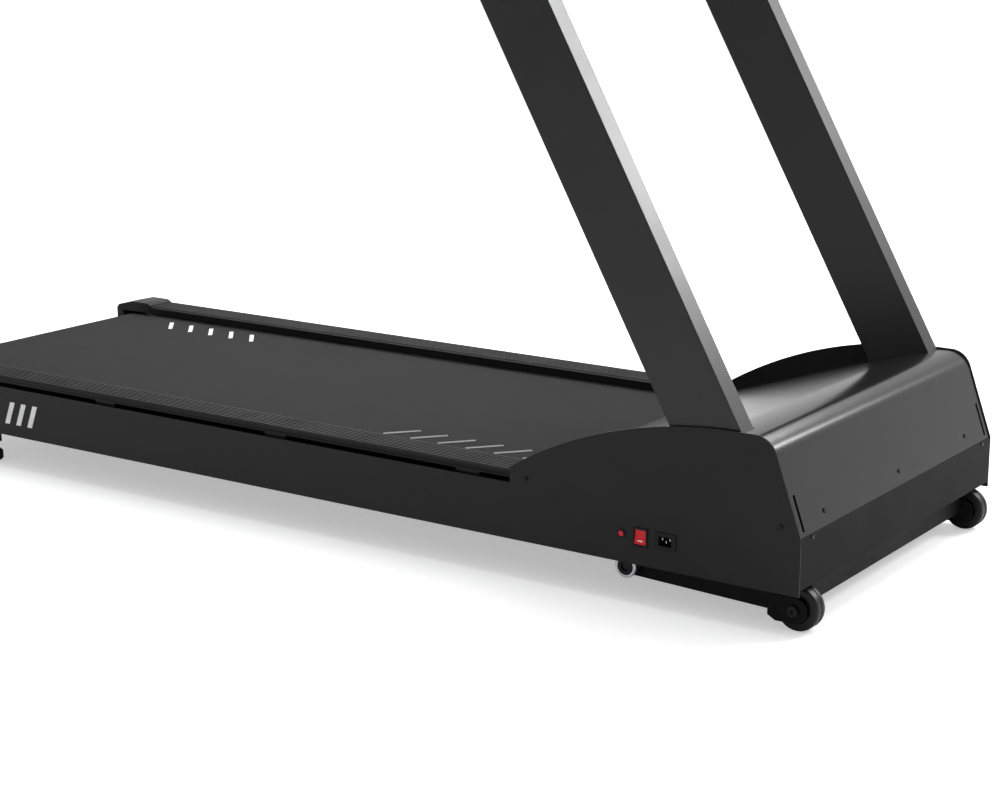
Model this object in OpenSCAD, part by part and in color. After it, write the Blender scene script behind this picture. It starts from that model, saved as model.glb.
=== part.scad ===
// Treadmill: powered running deck with a lift frame, motor hood, uprights and console.
// +Y is the running direction, +X the runner's right, +Z up, origin on the floor
// under the middle of the overall length and width.

/* [Overall] */
// Width over the two side panels
body_w = 772; // [700:1:930]
// Length of the base from its front face to the end caps
base_len = 2160; // [1800:1:2600]
// Height of the console's middle above the floor
console_high = 1290; // [1100:1:1560]

/* [Base] */
// Lower edge of the side panels above the floor
panel_low = 70; // [60:1:80]
// Upper edge of the side panels beside the foot rails
panel_high = 170; // [166:1:173]
// Thickness of the panels' and hood's sheet
sheet_t = 3; // [2:0.5:4]
// Height of the lip where the hood meets the front cover
lip_high = 165; // [150:1:175]
// Lower edge of the front cover
cover_low = 80; // [78:1:90]
// Width of a frame rail
rail_w = 34; // [28:1:41]
// Lower face of the frame rails
rail_low = 84; // [82:1:88]
// Height of the frame rails
rail_h = 80; // [76:1:86]
// Wall of the frame rails and cross members
tube_wall = 3; // [2:0.5:4]
// Gap between a frame rail and its side panel
panel_gap = 11; // [9:1:13]

/* [Hood] */
// Height of the hood's flat top
hood_top = 319; // [300:1:380]
// Distance of the hood's rear edge behind the front face
hood_back = 540; // [500:1:600]
// Height of the hood's rear edge
hood_rear_high = 181; // [180:1:190]
// Run of the hood's front face from its lip back to its top bend
hood_run = 55.1; // [46:0.1:56]
// Distance of the hood's upper rear bend behind the front face
hood_flat_back = 132.3; // [132:0.1:150]
// Bend radius between the hood's top and front
hood_bend_r = 44; // [20:1:46]
// Radius of the side panels' long top curve
panel_arc_r = 803; // [760:1:900]

/* [Running surface] */
// Top of the running belt
belt_top = 176; // [172:1:178]
// Radius of the two rollers
roller_r = 35; // [30:0.5:36]
// Thickness of the running belt
belt_t = 2.7; // [2:0.1:4]
// Thickness of the deck board
deck_t = 25; // [18:1:28]
// Distance of the front roller behind the front face
front_roller_back = 430; // [425:1:440]
// Distance of the rear roller ahead of the end caps' rear face
rear_roller_in = 75; // [70:1:90]
// Radius of the roller axles
axle_r = 10; // [8:0.5:12]
// Width of a foot rail
foot_rail_w = 72; // [60:1:76]
// Top of the foot rails
foot_rail_top = 193; // [188:1:200]

/* [Drive] */
// Radius of the drive motor
motor_r = 57.5; // [45:0.5:60]
// Length of the drive motor's casing
motor_len = 210; // [160:1:220]
// Distance of the motor shaft behind the front face
motor_back = 270; // [262:1:280]
// Height of the motor shaft
motor_high = 200; // [196:1:203]
// Radius of the motor pulley
motor_pulley_r = 22; // [18:0.5:26]
// Radius of the roller pulley
roller_pulley_r = 44; // [40:0.5:46]
// Width of the ribbed pulleys
pulley_w = 22; // [18:1:24]
// Radius of the flywheel
flywheel_r = 60; // [45:0.5:61]
// Radius of the motor shaft
motor_shaft_r = 8; // [6:0.5:10]

/* [Lift frame and wheels] */
// Radius of the transport wheels
wheel_r = 37.5; // [31:0.5:38]
// Distance of the wheel axle behind the front face
wheel_back = 21; // [18:1:24]
// Width of the transport wheels
wheel_w = 30; // [24:1:34]
// Radius of the wheel axles
wheel_axle_r = 5; // [4:0.5:6]
// Distance of the lift pivot behind the front face
pivot_back = 321; // [310:1:340]
// Height of the lift pivot
pivot_high = 61; // [58:1:63]
// Radius of the lift pivot pins
pivot_r = 15; // [12:0.5:16]
// Width of a lift arm
arm_w = 25; // [20:1:28]
// Height of a lift arm
arm_h = 38; // [30:1:39]

/* [Incline actuator] */
// Distance of the actuator's upper pivot behind the front face
act_top_back = 131; // [128:1:134]
// Height of the actuator's upper pivot
act_top_high = 261; // [255:1:266]
// Distance of the actuator's lower pivot behind the front face
act_low_back = 150; // [147:1:153]
// Height of the actuator's lower pivot
act_low_high = 55; // [53:1:57]
// Place of the actuator across the machine
act_x = -200; // [-230:1:-150]
// Radius of the actuator's rod
rod_r = 14; // [12:0.5:15]
// Radius of the actuator's two pivot pins
act_pin_r = 6; // [5:0.5:7]

/* [Uprights and console] */
// Thickness of the uprights across the machine
upright_t = 40; // [33:1:48]
// Level width of an upright from front to back
upright_w = 135; // [110:1:160]
// Rearward lean of the uprights, run over rise
upright_lean = 0.5595; // [0.45:0.0005:0.6]
// Distance of the upright's front line behind the front face, at floor level
upright_foot_back = -67; // [-75:1:-60]
// Wall of the uprights
upright_wall = 2.5; // [2:0.5:4]
// Height of the console face along its slope
console_h = 300; // [240:1:360]
// Depth of the console
console_d = 70; // [60:1:85]
// Backward tilt of the console face from vertical
console_tilt = 35; // [25:1:45]
// Height of the handrails
handrail_high = 1080; // [950:1:1150]
// Radius of the handrail tubes
handrail_r = 17; // [15:0.5:19]
// Length of the handrails behind the uprights' middle
handrail_len = 450; // [380:1:520]

/* [Rear feet] */
// Distance of the rear feet ahead of the end caps' rear face
foot_in = 290; // [240:1:340]
// Radius of a foot pad
foot_r = 25; // [20:0.5:30]
// Height of a foot pad
foot_h = 22; // [16:1:26]
// Radius of a foot's screw
foot_stud_r = 6; // [5:0.5:8]

/* [Fits] */
// Radial clearance of a turning or sliding fit
fit_gap = 0.06; // [0.02:0.01:0.1]
// Gap between bodies that pass each other
pass_gap = 0.3; // [0.3:0.1:1]
// Radial clearance of a bolt in its hole
bolt_gap = 0.3; // [0.2:0.1:0.6]

/* [Hidden] */
$fn = 64;
eps = 1;                                    // overrun of a cut past the face it opens

// Places along the machine: "back" is measured rearwards from the front face.
front_y = (base_len - (wheel_r - wheel_back)) / 2;
function back(d) = front_y - d;

// Places across the machine, right side, from the outside in.
x_out = body_w / 2;
x_panel = x_out - sheet_t;
x_rail_out = x_panel - panel_gap;
x_rail = x_rail_out - rail_w;
x_pulley_out = x_rail - 10;
x_pulley = x_pulley_out - pulley_w;
x_belt = x_pulley - 16;
x_roller = x_belt + 8;
x_foot_rail = x_out - foot_rail_w;
x_upright_out = x_panel - 3;
x_upright = x_upright_out - upright_t;
x_arm_out = x_out - 25;
x_arm = x_arm_out - arm_w;

// Heights
rail_high = rail_low + rail_h;
belt_in_r = roller_r + pass_gap;
belt_out_r = belt_in_r + belt_t;
axle_high = belt_top - belt_out_r;
deck_high = belt_top - belt_t - 0.2;
deck_low = deck_high - deck_t;
cushion_h = 8;
cushion_r = 15;
member_high = deck_low - cushion_h;          // top of the cross members under the deck

// Lengthwise places
rear_roller_back = base_len - rear_roller_in;
rail_front = 30;
rail_rear = base_len - 25;
member_w = 40;
member_low = 100;
front_member = [34, 64];
actuator_bracket_high = 160;
deck_front = front_roller_back + roller_pulley_r + 11;
deck_rear = rear_roller_back - belt_out_r - 7;
foot_rail_front = hood_back + 8;
foot_rail_rear = base_len - 109;
foot_back = base_len - foot_in;
panel_rear = base_len - 32;

// ---------- plain shapes ----------

// Round bar along X
module bar_x(r, x0, x1, d, z) {
    translate([x0, back(d), z]) rotate([0, 90, 0]) cylinder(r = r, h = x1 - x0);
}

// Round bar along Y, from distance d0 back to d1
module bar_y(r, x, d0, d1, z) {
    translate([x, back(d0), z]) rotate([90, 0, 0]) cylinder(r = r, h = d1 - d0);
}

// Block given by its limits across, back and up
module block(x0, x1, d0, d1, z0, z1) {
    translate([x0, back(d1), z0]) cube([x1 - x0, d1 - d0, z1 - z0]);
}

// Side outline, listed as [distance back, height], drawn across from x0 to x1
module side_shape(x0, x1, outline) {
    translate([x0, 0, 0]) rotate([90, 0, 90])
        linear_extrude(x1 - x0) polygon([for (p = outline) [back(p[0]), p[1]]]);
}

// Both sides of the machine
module both_sides() {
    children();
    mirror([1, 0, 0]) children();
}

// ---------- outlines ----------

// Round corner of radius r at b, between the legs to a and c
function unit(v) = v / norm(v);
function corner(a, b, c, r, n = 10) =
    let (u = unit(a - b), w = unit(c - b), half = acos(u * w) / 2,
         m = b + unit(u + w) * r / sin(half),
         p0 = b + u * r / tan(half), p1 = b + w * r / tan(half),
         a0 = atan2(p0[1] - m[1], p0[0] - m[0]), a1 = atan2(p1[1] - m[1], p1[0] - m[0]),
         turn = a1 - a0 > 180 ? a1 - a0 - 360 : a1 - a0 < -180 ? a1 - a0 + 360 : a1 - a0)
    [for (i = [0:n]) m + r * [cos(a0 + turn * i / n), sin(a0 + turn * i / n)]];

// A low hood carries its flat top further back, so that its rear face still clears the flywheel
hood_low_by = max(0, motor_high + flywheel_r + 59 - hood_top);
hood_front_slope = hood_run / (hood_top - lip_high);
hood_rear_slope = (hood_top - hood_rear_high) / (hood_back - hood_flat_back - 3 * hood_low_by);
hood_rear_blend = 38;                        // length of the rear bend's tangents

// Outer line of the hood, rear edge to front lip, raised by k
function hood_line(k) =
    let (lift = k / cos(atan(hood_rear_slope)), push = k * sqrt(1 + pow(hood_front_slope, 2)),
         rear = [hood_back, hood_rear_high + lift],
         top_rear = [hood_back - (hood_top + k - hood_rear_high - lift) / hood_rear_slope,
                     hood_top + k],
         top_front = [2 + (hood_top + k - lip_high) * hood_front_slope - push, hood_top + k],
         lip = [2 - push, lip_high])
    concat([rear], corner(rear, top_rear, top_front,
                          hood_rear_blend / tan(atan(hood_rear_slope) / 2), 12),
           corner(top_rear, top_front, lip, hood_bend_r + k, 12), [lip]);
function reversed(v) = [for (i = [len(v) - 1:-1:0]) v[i]];

// Outline of a side panel
panel_top = hood_top + 2.5;
panel_arc_back = 120;
function panel_arc_drop(d) = panel_arc_r - sqrt(pow(panel_arc_r, 2) - pow(d - panel_arc_back, 2));
panel_corner_back = (panel_top - lip_high) * hood_front_slope;
panel_line = concat(
    [[0, panel_low], [0, lip_high]],
    corner([0, lip_high], [panel_corner_back, panel_top], [panel_arc_back, panel_top],
           hood_bend_r - 4, 10),
    [for (i = [0:24]) let (d = panel_arc_back + (foot_rail_front - panel_arc_back) * i / 24)
        [d, panel_top - panel_arc_drop(d)]],
    [[foot_rail_front, panel_high], [panel_rear, panel_high], [panel_rear, panel_low]]);

// Outline of an upright between two heights, grown outwards by k
function upright_front(z) = upright_foot_back + upright_lean * z;
function upright_outline(z0, z1, k = 0) =
    [[upright_front(z0) - k, z0], [upright_front(z1) - k, z1],
     [upright_front(z1) + upright_w + k, z1], [upright_front(z0) + upright_w + k, z0]];

// Outline of an upright whose upper end is cut along the console's face, shrunk by k and lowered by m
console_seat = 0.75;                         // share of the upright's width ahead of the console's face
function cut_high(across) = console_high + (console_seat * upright_w - across) * cos(console_tilt)
    / (sin(console_tilt) + upright_lean * cos(console_tilt));
function upright_cut_outline(z0, k = 0, m = 0) =
    let (zf = cut_high(k) - m, zr = cut_high(upright_w - k) - m)
    [[upright_front(z0) + k, z0], [upright_front(zf) + k, zf],
     [upright_front(zr) + upright_w - k, zr], [upright_front(z0) + upright_w - k, z0]];

// Closed loop round two circles, for the ribbed drive belt
function loop_line(c0, r0, c1, r1, n = 24) =
    let (d = norm(c1 - c0), dir = atan2(c1[1] - c0[1], c1[0] - c0[0]), b = acos((r0 - r1) / d))
    concat([for (i = [0:n]) let (a = dir + b + (360 - 2 * b) * i / n) c0 + r0 * [cos(a), sin(a)]],
           [for (i = [0:n]) let (a = dir - b + 2 * b * i / n) c1 + r1 * [cos(a), sin(a)]]);

// ---------- steel frame ----------

window_d = [215, 350];                       // opening in the right rail for the mains fittings
window_z = [96, 142];

module frame_rail() {
    difference() {
        block(x_rail, x_rail_out, rail_front, rail_rear, rail_low, rail_high);
        block(x_rail + tube_wall, x_rail_out - tube_wall, rail_front - eps, rail_rear + eps,
              rail_low + tube_wall, rail_high - tube_wall);
        bar_x(axle_r, x_rail - eps, x_rail + tube_wall + eps, front_roller_back, axle_high);
        rear_axle_slot();
        translate([x_foot, back(foot_back), rail_low - eps])
            cylinder(r = foot_stud_r + fit_gap, h = tube_wall + 2 * eps);
    }
}

// Slot in which the rear axle is drawn back to tighten the belt
module rear_axle_slot() {
    for (s = [-1, 1]) bar_x(axle_r, x_rail - eps, x_rail + tube_wall + eps,
                            rear_roller_back + s * tension_travel, axle_high);
    block(x_rail - eps, x_rail + tube_wall + eps, rear_roller_back - tension_travel,
          rear_roller_back + tension_travel, axle_high - axle_r, axle_high + axle_r);
}

module rail_right() {
    color("#202022") difference() {
        frame_rail();
        block(x_rail_out - tube_wall - eps, x_rail_out + eps, window_d[0], window_d[1],
              window_z[0], window_z[1]);
    }
}

module frame_rails() {
    rail_right();
    color("#202022") mirror([1, 0, 0]) frame_rail();
}

// Rectangular tube across the machine between the rails
module cross_tube(d0, d1, z0, z1, x = x_rail) {
    difference() {
        block(-x, x, d0, d1, z0, z1);
        block(-x - eps, x + eps, d0 + tube_wall, d1 - tube_wall, z0 + tube_wall, z1 - tube_wall);
    }
}

member_inset = 90;                           // first and last deck member from the deck's ends
member_h = 24;
deck_members = [for (i = [0:3])
    deck_front + member_inset + (deck_rear - deck_front - 2 * member_inset) * i / 3];
module cross_members() {
    color("#202022") {
        cross_tube(front_member[0], front_member[1], member_low, actuator_bracket_high);
        cross_tube(motor_back - member_w / 2, motor_back + member_w / 2, member_low, plate_low);
        for (d = deck_members)
            cross_tube(d - member_w / 2, d + member_w / 2, member_high - member_h, member_high);
        motor_plate();
    }
}

module deck_cushions() {
    color("#303030") for (d = deck_members, share = [-0.8, -0.3, 0.3, 0.8])
        translate([share * x_rail, back(d), member_high]) cylinder(r = cushion_r, h = cushion_h);
}

pan_d = [front_member[1] + 2, front_roller_back - 50];
pan_t = 2;
module belly_pan() {
    color("#1c1c1e") difference() {
        block(-x_rail, x_rail, pan_d[0], pan_d[1], rail_low, rail_low + pan_t);
        block(act_x - 44, act_x + 44, act_top_back - 35, act_low_back + 76,
              rail_low - eps, rail_low + pan_t + eps);
    }
}

// End plates of the rails, spacers behind the side panels and seats under the foot rails
module frame_brackets() {
    color("#202022") both_sides() {
        difference() {
            block(x_rail, x_rail_out, rail_rear, rail_rear + end_plate_t, rail_low, rail_high);
            bar_y(tension_bolt_r + bolt_gap, x_tension, rail_rear - eps, rail_rear + end_plate_t + eps,
                  axle_high);
        }
        for (d = spacer_places)
            block(x_rail_out, x_panel, d, d + spacer_w, spacer_z[0], spacer_z[1]);
        for (d = seat_places)
            block(x_rail + 4, x_rail_out + 4, d, d + seat_w, rail_high, foot_rail_top - foot_rail_t);
        difference() {
            block(x_rail + 2, x_rail_out - 2, foot_back - foot_block / 2, foot_back + foot_block / 2,
                  foot_block_low, rail_low);
            translate([x_foot, back(foot_back), foot_block_low - eps])
                cylinder(r = foot_stud_r + fit_gap, h = rail_low - foot_block_low + 2 * eps);
        }
    }
}

bracket_inset = 70;                          // first bracket behind the foot rail's front end
spacer_w = 40;                               // spacers between rail and side panel
spacer_z = [110, 140];
spacer_run = panel_rear - foot_rail_front - 2 * bracket_inset - spacer_w + 30;
spacer_places = concat([window_d[0] - spacer_w - 30],
    [for (i = [0:3]) foot_rail_front + bracket_inset + spacer_run * i / 3]);
seat_w = 50;                                 // seats under the foot rail
seat_run = foot_rail_rear - foot_rail_front - 2 * bracket_inset - seat_w - 10;
seat_places = [for (i = [0:3]) foot_rail_front + bracket_inset + seat_run * i / 3];
foot_rail_t = 6;                             // depth of the foot rail's ribbed top
foot_block = 36;                             // nut block over each rear foot
foot_block_low = foot_h + 16;

// Lug that carries the lift frame's pivot pin, hung under each rail
lug_x = [x_arm_out + 3, x_rail_out];
module lift_pivot_lugs() {
    color("#202022") both_sides() difference() {
        side_shape(lug_x[0], lug_x[1], [
            [pivot_back - 30, rail_low], [pivot_back + 30, rail_low],
            [pivot_back + 18, pivot_high - 8], [pivot_back + 8, pivot_high - 18],
            [pivot_back - 8, pivot_high - 18], [pivot_back - 18, pivot_high - 8]]);
        bar_x(pivot_r + fit_gap, lug_x[0] - eps, lug_x[1] + eps, pivot_back, pivot_high);
    }
}

// ---------- running surface ----------

module deck() {
    color("#3a3a3a") block(-x_rail + 8, x_rail - 8, deck_front, deck_rear, deck_low, deck_high);
}

// Outer or inner shell of the running belt, from its radius about the rollers
module belt_shell(r, x) {
    bar_x(r, -x, x, front_roller_back, axle_high);
    bar_x(r, -x, x, rear_roller_back, axle_high);
    block(-x, x, front_roller_back, rear_roller_back, axle_high - r, axle_high + r);
}

module running_belt() {
    color("#3c3c3e") difference() {
        belt_shell(belt_out_r, x_belt);
        belt_shell(belt_in_r, x_belt + eps);
    }
}

bearing_r = 20;
bearing_w = 12;
module roller_tube(d) {
    difference() {
        bar_x(roller_r, -x_roller, x_roller, d, axle_high);
        bar_x(bearing_r + 4, -x_roller + 16, x_roller - 16, d, axle_high);
        bar_x(bearing_r, -x_roller - eps, x_roller + eps, d, axle_high);
    }
}

module front_roller() { color("#9a9a9c") roller_tube(front_roller_back); }
module rear_roller() { color("#9a9a9c") roller_tube(rear_roller_back); }

module roller_bearings() {
    color("#b5b5b8") for (d = [front_roller_back, rear_roller_back]) both_sides() difference() {
        bar_x(bearing_r - fit_gap, x_roller - bearing_w - 2, x_roller - 2, d, axle_high);
        bar_x(axle_r, x_roller - bearing_w - 2 - eps, x_roller - 2 + eps, d, axle_high);
    }
}

x_axle_end = x_rail_out - tube_wall - 1;
x_tension = (x_rail + x_rail_out) / 2;
tension_bolt_r = 4;
tension_travel = 10;
end_plate_t = 4;
module roller_axles() {
    color("#a8a8aa") difference() {
        for (d = [front_roller_back, rear_roller_back])
            bar_x(axle_r, -x_axle_end, x_axle_end, d, axle_high);
        both_sides() bar_y(tension_bolt_r, x_tension, rear_roller_back - axle_r - eps,
                           rear_roller_back + axle_r + eps, axle_high);
    }
}

module tension_bolts() {
    color("#8a8a8a") both_sides() {
        bar_y(tension_bolt_r, x_tension, rear_roller_back - 16, rail_rear + end_plate_t, axle_high);
        translate([x_tension, back(rail_rear + end_plate_t), axle_high]) rotate([90, 0, 0])
            cylinder(r = 7, h = 5.5, $fn = 6);
    }
}

// Foot rail: ribbed extrusion beside the belt, drawn as an across-and-up section
rib_n = 8;
rib_w = 4.2;
rib_pitch = (foot_rail_w - 6) / rib_n;
foot_rail_section = concat(
    [[x_out, panel_high + 9], [x_out, panel_high + 13], [x_out - 1, panel_high + 14],
     [x_out, panel_high + 15], [x_out, foot_rail_top - 4], [x_out - 2.5, foot_rail_top - 1.5]],
    [for (i = [0:rib_n - 1], c = [0:3]) let (x = x_out - 3 - i * rib_pitch)
        [x - (c < 2 ? 0.5 : 0.5 + rib_w) + (c == 0 ? 0.4 : c == 3 ? -0.4 : 0),
         foot_rail_top - (c == 0 || c == 3 ? 1.5 : 0)]],
    [[x_foot_rail, foot_rail_top - 3], [x_foot_rail, belt_top - 1.5], [x_foot_rail + 3, belt_top - 1.5],
     [x_foot_rail + 3, foot_rail_top - foot_rail_t],
     [x_out - 4, foot_rail_top - foot_rail_t], [x_out - 4, panel_high + 9]]);
module foot_rail() {
    translate([0, back(foot_rail_front), 0]) rotate([90, 0, 0])
        linear_extrude(foot_rail_rear - foot_rail_front) polygon(foot_rail_section);
}
module foot_rails() { color("#1b1b1c") both_sides() foot_rail(); }

cap_front = foot_rail_rear;
cap_top = foot_rail_top + 6;
cap_wall_front = rail_rear + end_plate_t;
module end_cap() {
    difference() {
        union() {
            side_shape(x_foot_rail, x_out, [
                [cap_front, belt_top], [cap_front, cap_top - 5], [cap_front + 10, cap_top],
                [base_len - 52, cap_top], [base_len - 6, cap_top - 11], [base_len, cap_top - 18],
                [base_len, panel_low + 4], [cap_wall_front, panel_low + 4], [cap_wall_front, belt_top]]);
            block(x_panel, x_out, panel_rear + 0.5, cap_wall_front, panel_low + 4, belt_top);
        }
        bar_y(10, x_tension, cap_wall_front - eps, base_len + eps, axle_high);
    }
}
module end_caps() { color("#1d1d1e") both_sides() end_cap(); }

// ---------- panels and hood ----------

screw_r = 4;
panel_screw_places = [[36, 180], [foot_rail_front - 33, 181]];
hood_screw_x = [-285, 0, 285] * (body_w / 772);
hood_screw_high = lip_high + 22;

module side_panel() {
    difference() {
        side_shape(x_panel, x_out, panel_line);
        for (p = panel_screw_places) bar_x(screw_r - 1, x_panel - eps, x_out + eps, p[0], p[1]);
    }
}

// Mains fittings in the right panel: place [back, up] and half sizes [along, up] of each
inlet_at = [242, 119];
inlet_bezel = [20, 14.5];
inlet_body = [15, 11];
inlet_recess = [12, 8];
switch_at = [289, 118];
switch_bezel = [14, 16.5];
switch_body = [12.2, 14.3];
switch_recess = [10.9, 13.2];
rocker_half = [10.5, 12.3];
rocker_axis_in = 4;                          // depth of the rocker's axis inside the panel's face
rocker_pin_r = 1.5;
rocker_pin_in = 0.8;                         // reach of the rocker's pin into the housing's walls
breaker_at = [325.5, 119];
breaker_body_r = 6.2;
breaker_button_r = 4.6;

// Block round a fitting's place, grown by k
module fitting(at, half, k, x0, x1) {
    block(x0, x1, at[0] - half[0] - k, at[0] + half[0] + k, at[1] - half[1] - k, at[1] + half[1] + k);
}

module side_panel_right() {
    color("#2c2c2d") difference() {
        side_panel();
        fitting(inlet_at, inlet_body, 0.5, x_panel - eps, x_out + eps);
        fitting(switch_at, switch_body, 0.5, x_panel - eps, x_out + eps);
        bar_x(breaker_body_r + 0.3, x_panel - eps, x_out + eps, breaker_at[0], breaker_at[1]);
    }
}
module side_panel_left() { color("#2c2c2d") mirror([1, 0, 0]) side_panel(); }

module cover_screws() {
    panel_screws();
    hood_screws();
    front_cover_screws();
}

module panel_screws() {
    color("#151515") both_sides() for (p = panel_screw_places) {
        bar_x(screw_r - 1 - bolt_gap, x_upright_out + 0.5, x_out, p[0], p[1]);
        bar_x(screw_r, x_out, x_out + 2.5, p[0], p[1]);
    }
}

slit_x = x_out - 23;                         // drain slit near each end of the hood's front
slit_w = 7;
slit_z = [lip_high + 7, lip_high + 64];
module hood() {
    color("#3a3a3b") difference() {
        side_shape(-x_panel + 0.5, x_panel - 0.5, concat(hood_line(0), reversed(hood_line(-sheet_t))));
        both_sides() side_shape(x_upright - 1.5, x_panel + eps,
                                upright_outline(lip_high, hood_top + 40, 2));
        both_sides() block(slit_x, slit_x + slit_w, -30, 60, slit_z[0], slit_z[1]);
        for (x = hood_screw_x) hood_screw_axis(x) cylinder(r = 2.5 + bolt_gap, h = 20, center = true);
    }
}

// Frame of a screw on the hood's sloping front, its +Z pointing out of the face
module hood_screw_axis(x) {
    translate([x, back(2 + (hood_screw_high - lip_high) * hood_front_slope), hood_screw_high])
        rotate([-90 + atan(hood_front_slope), 0, 0]) children();
}

module hood_screws() {
    color("#111111") for (x = hood_screw_x) hood_screw_axis(x) {
        translate([0, 0, -9]) cylinder(r = 2.5, h = 9);
        cylinder(r = 4.2, h = 1.6);
    }
}

module front_cover() {
    color("#2a2a2b") difference() {
        union() {
            block(-x_panel + 0.5, x_panel - 0.5, 0, sheet_t, cover_low, lip_high - 0.5);
            block(-x_panel + 0.5, x_panel - 0.5, sheet_t, 14, cover_low, cover_low + sheet_t);
        }
        both_sides() bar_y(3, x_cover_screw, -eps, sheet_t + eps, lip_high - 5);
    }
}

x_cover_screw = x_out - 41;
module front_cover_screws() {
    color("#111111") both_sides() {
        bar_y(2.6, x_cover_screw, 0, 9, lip_high - 5);
        bar_y(3.6, x_cover_screw, -1.5, 0, lip_high - 5);
    }
}

// ---------- drive ----------

plate_high = motor_high - motor_r;
plate_low = plate_high - 6;
plate_w = 100;
saddle_w = 40;
saddle_h = 20;
x_motor_end = x_pulley - 37;
x_flywheel = x_pulley - 30;
x_flywheel_out = x_pulley - 8;
rim_t = 10;                                  // rim and hub of the flywheel
module motor_casing() {
    color("#2f3033") difference() {
        bar_x(motor_r, x_motor_end - motor_len, x_motor_end, motor_back, motor_high);
        bar_x(motor_shaft_r + fit_gap, x_motor_end - motor_len - eps, x_motor_end + eps,
              motor_back, motor_high);
    }
}

// Plate on the motor's cross member, with two saddles that fit the casing
module motor_plate() {
    half = plate_w / 2;
    block(x_motor_end - motor_len, x_motor_end, motor_back - half, motor_back + half,
          plate_low, plate_high);
    difference() {
        for (x = [x_motor_end - motor_len + 20, x_motor_end - 20 - saddle_w])
            block(x, x + saddle_w, motor_back - half + 5, motor_back + half - 5,
                  plate_high, plate_high + saddle_h);
        bar_x(motor_r, x_motor_end - motor_len, x_motor_end, motor_back, motor_high);
    }
}

module motor_shaft() {
    color("#b0b0b2") bar_x(motor_shaft_r, x_motor_end - motor_len + 2, x_pulley_out + 2,
                           motor_back, motor_high);
}

module flywheel() {
    motor_pulley();
    color("#6a6b6e") difference() {
        bar_x(flywheel_r, x_flywheel, x_flywheel_out, motor_back, motor_high);
        difference() {
            bar_x(flywheel_r - rim_t, x_flywheel_out - 8, x_flywheel_out + eps, motor_back, motor_high);
            bar_x(motor_shaft_r + rim_t, x_flywheel, x_flywheel_out + 2 * eps, motor_back, motor_high);
        }
        bar_x(motor_shaft_r, x_flywheel - eps, x_flywheel_out + eps, motor_back, motor_high);
    }
}

// Pulley with ribs round its rim
module ribbed_pulley(r, bore, d, z) {
    pitch = (pulley_w - 4) / 6;
    difference() {
        bar_x(r, x_pulley, x_pulley_out, d, z);
        for (i = [0:5]) difference() {
            bar_x(r + eps, x_pulley + 2 + (i + 0.25) * pitch, x_pulley + 2 + (i + 0.75) * pitch, d, z);
            bar_x(r - 2, x_pulley, x_pulley_out, d, z);
        }
        bar_x(bore, x_pulley - eps, x_pulley_out + eps, d, z);
    }
}

module motor_pulley() {
    color("#97989a") ribbed_pulley(motor_pulley_r, motor_shaft_r, motor_back, motor_high);
}

module roller_pulley() {
    color("#97989a") {
        ribbed_pulley(roller_pulley_r, axle_r + pass_gap, front_roller_back, axle_high);
        difference() {
            bar_x(bearing_r - 2, x_roller, x_pulley, front_roller_back, axle_high);
            bar_x(axle_r + pass_gap, x_roller - eps, x_pulley + eps, front_roller_back, axle_high);
        }
    }
}

module drive_belt() {
    m = [motor_back, motor_high];
    r = [front_roller_back, axle_high];
    color("#1a1a1a") difference() {
        side_shape(x_pulley + 1, x_pulley_out - 1,
                   loop_line(m, motor_pulley_r + 4, r, roller_pulley_r + 4));
        side_shape(x_pulley, x_pulley_out,
                   loop_line(m, motor_pulley_r + pass_gap, r, roller_pulley_r + pass_gap));
    }
}

ctrl_x = [-130, 20];
ctrl_d = [84, 200];
module controller_heatsink() {
    color("#9c9ea0") {
        block(ctrl_x[0], ctrl_x[1], ctrl_d[0], ctrl_d[1], rail_low + 14, rail_low + 20);
        for (i = [0:11]) let (x = ctrl_x[0] + 4 + i * (ctrl_x[1] - ctrl_x[0] - 11) / 11)
            block(x, x + 3, ctrl_d[0], ctrl_d[1], rail_low + 2, rail_low + 14);
    }
}

module controller_board() {
    z = rail_low + 20;
    color("#2f5a3a") {
        block(ctrl_x[0] + 4, ctrl_x[1] - 4, ctrl_d[0] + 4, ctrl_d[1] - 4, z, z + 2);
        block(ctrl_x[0] + 14, ctrl_x[0] + 44, ctrl_d[0] + 14, ctrl_d[0] + 54, z + 2, z + 26);
        for (i = [0:2]) translate([ctrl_x[1] - 24 - i * 27, back(ctrl_d[1] - 24), z + 2])
            cylinder(r = 11, h = 38);
    }
}

// ---------- mains fittings ----------

fitting_floor = x_rail + tube_wall + 2;      // deepest point of the fittings, inside the rail
bezel_t = 2;
module power_inlet() {
    inlet_blades();
    color("#141414") difference() {
        union() {
            fitting(inlet_at, inlet_bezel, 0, x_out, x_out + bezel_t);
            fitting(inlet_at, inlet_body, 0, x_panel - 26, x_out);
        }
        fitting(inlet_at, inlet_recess, 0, x_out - 15, x_out + bezel_t + eps);
        for (p = inlet_blade_places) inlet_blade(p, 0, 0.01);
    }
}

inlet_blade_places = [[-7, 3], [7, 3], [0, -1.5]];
inlet_blade_half = [1, 2];
module inlet_blade(p, cut, gap) {
    fitting(inlet_at + p, inlet_blade_half, gap, x_panel - 26 - cut, x_out - 3);
}
module inlet_blades() { color("#c0c0c0") for (p = inlet_blade_places) inlet_blade(p, 4, 0); }

module switch_housing() {
    color("#161616") difference() {
        union() {
            fitting(switch_at, switch_bezel, 0, x_out, x_out + bezel_t);
            fitting(switch_at, switch_body, 0, fitting_floor, x_out);
        }
        fitting(switch_at, switch_recess, 0, x_out - 14, x_out + bezel_t + eps);
        rocker_pin(rocker_pin_in, fit_gap);
    }
}

// Pin on which the rocker turns, past the recess by reach at each end
module rocker_pin(reach, gap) {
    bar_y(rocker_pin_r + gap, x_out - rocker_axis_in, switch_at[0] - switch_recess[0] - reach,
          switch_at[0] + switch_recess[0] + reach, switch_at[1]);
}

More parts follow.
